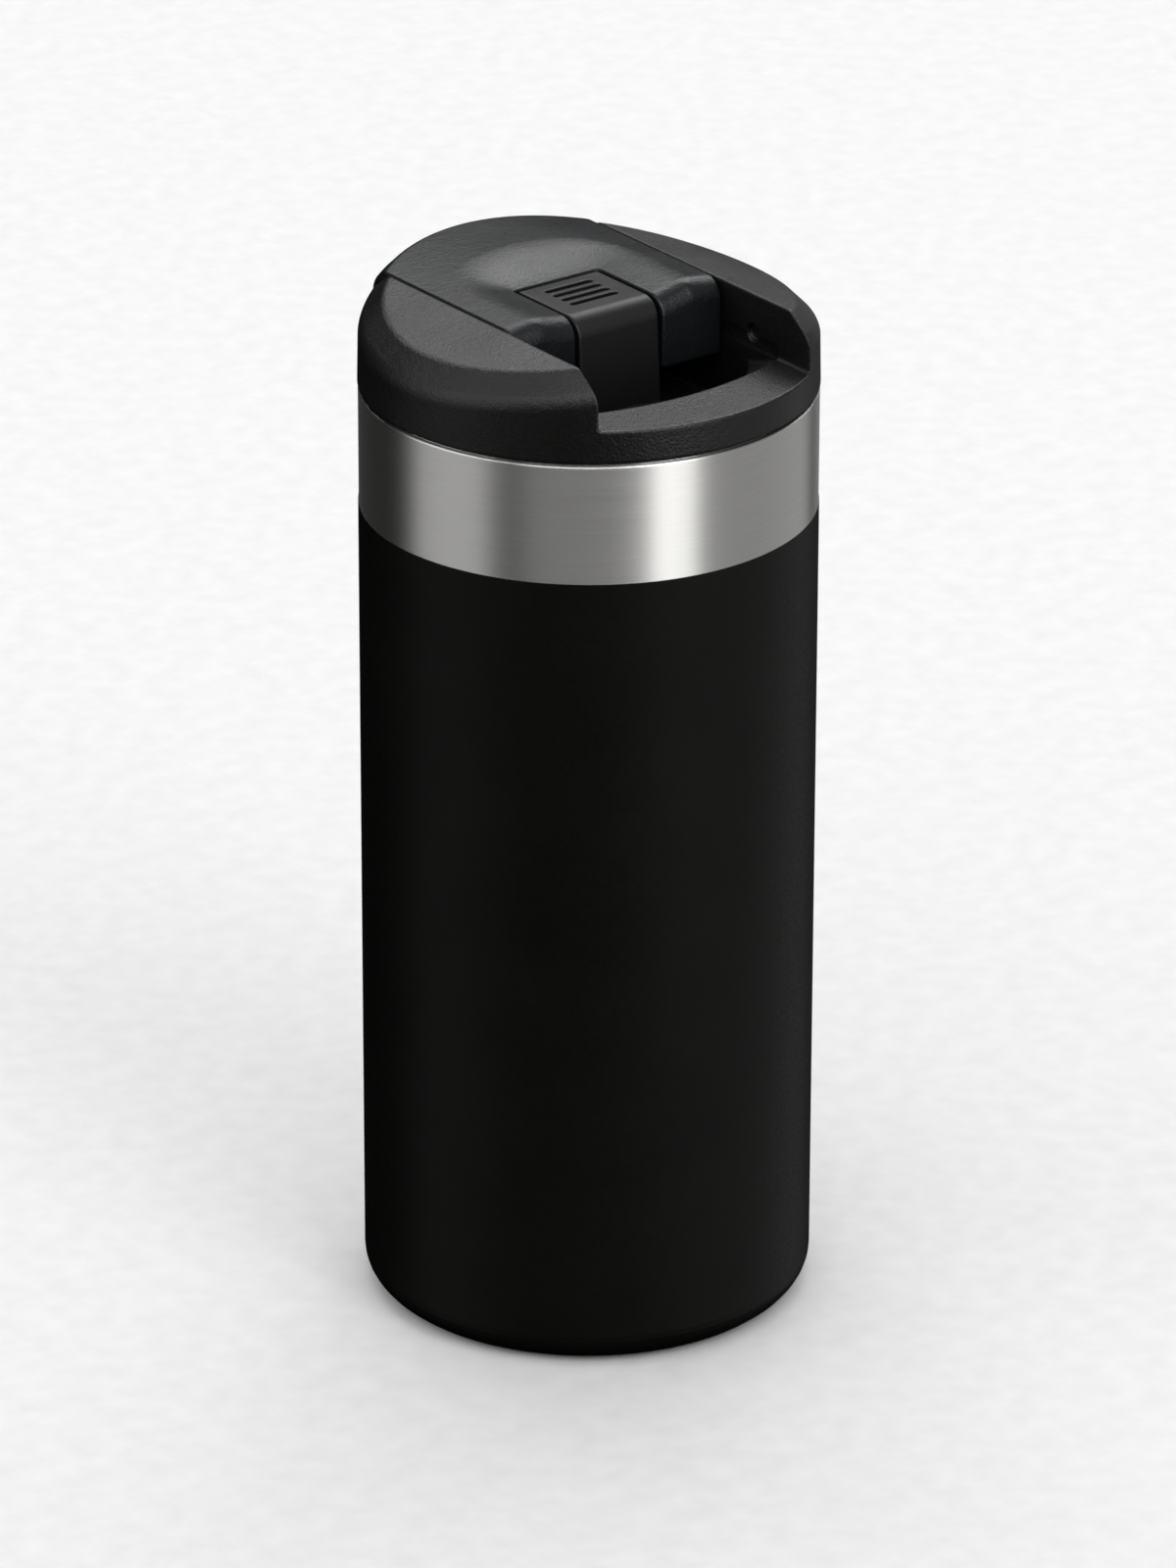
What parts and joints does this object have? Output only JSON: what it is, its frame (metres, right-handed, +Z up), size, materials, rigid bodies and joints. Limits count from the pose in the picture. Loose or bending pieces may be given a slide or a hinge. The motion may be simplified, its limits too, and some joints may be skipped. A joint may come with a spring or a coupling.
{
  "type": "insulated travel mug",
  "caption": "Double-walled vacuum travel mug in matte black with a bare steel band, a screw-in lid, a flip-up cover and a front latch button.",
  "frame": {"origin": "centre of the base, on the surface the mug stands on", "axes": "+Z up along the mug's axis, drinking side towards -Y, +X to the drinker's side of the right-hand wing"},
  "size_m": [0.07, 0.07, 0.1654],
  "materials": {
    "coated_steel": "matte black powder coat",
    "bare_steel": "brushed round the body",
    "spring_steel": "drawn wire and turned pins",
    "lid_plastic": "fine spark-eroded texture",
    "cover_plastic": "fine satin grain, slightly blue",
    "button_plastic": "fine satin grain",
    "silicone": "smooth matte",
    "seal_glass": "opaque solder glass",
    "getter_alloy": "sintered"
  },
  "bodies": {
    "mug_body": {"outer_shell": "coated_steel", "base_pan": "bare_steel", "vacuum_seal": "seal_glass", "base_cap": "coated_steel", "getter_cup": "bare_steel", "getter": "getter_alloy", "inner_vessel": "bare_steel"},
    "lid_seal": {"mouth_gasket": "silicone"},
    "lid": {"lid_plug": "lid_plastic", "lid_housing": "lid_plastic", "hinge_spring_right": "spring_steel", "hinge_spring_left": "spring_steel"},
    "cover": {"flip_cover": "cover_plastic", "cover_plate": "lid_plastic", "cover_screw_right": "spring_steel", "cover_screw_left": "spring_steel", "spout_seal": "silicone", "vent_seal": "silicone", "hinge_pin": "spring_steel", "button_pin": "spring_steel", "button_spring": "spring_steel"},
    "button": {"latch_button": "button_plastic"}
  },
  "joints": [
    {"name": "lid_lift", "type": "slide", "parent": "mug_body", "child": "lid_seal", "axis": [0, 0, 1], "range_m": [0, 0.02]},
    {"name": "lid_turn", "type": "hinge", "parent": "lid_seal", "child": "lid", "pos_m": [0, 0, 0.15], "axis": [0, 0, 1], "range_deg": [0, 900.5]},
    {"name": "cover_flip", "type": "hinge", "parent": "lid", "child": "cover", "pos_m": [0, 0.027, 0.1603], "axis": [-1, 0, 0], "range_deg": [0, 95]},
    {"name": "button_press", "type": "hinge", "parent": "cover", "child": "button", "pos_m": [0, 0.0045, 0.1586], "axis": [1, 0, 0], "range_deg": [0, 7], "stiffness_Nm_per_rad": 0.2, "springref_deg": -8.59, "deforming": ["button_spring"]}
  ],
  "couplings": [
    {"joint": "lid_turn", "follows": "lid_lift", "rad_per_m": 785.4}
  ]
}
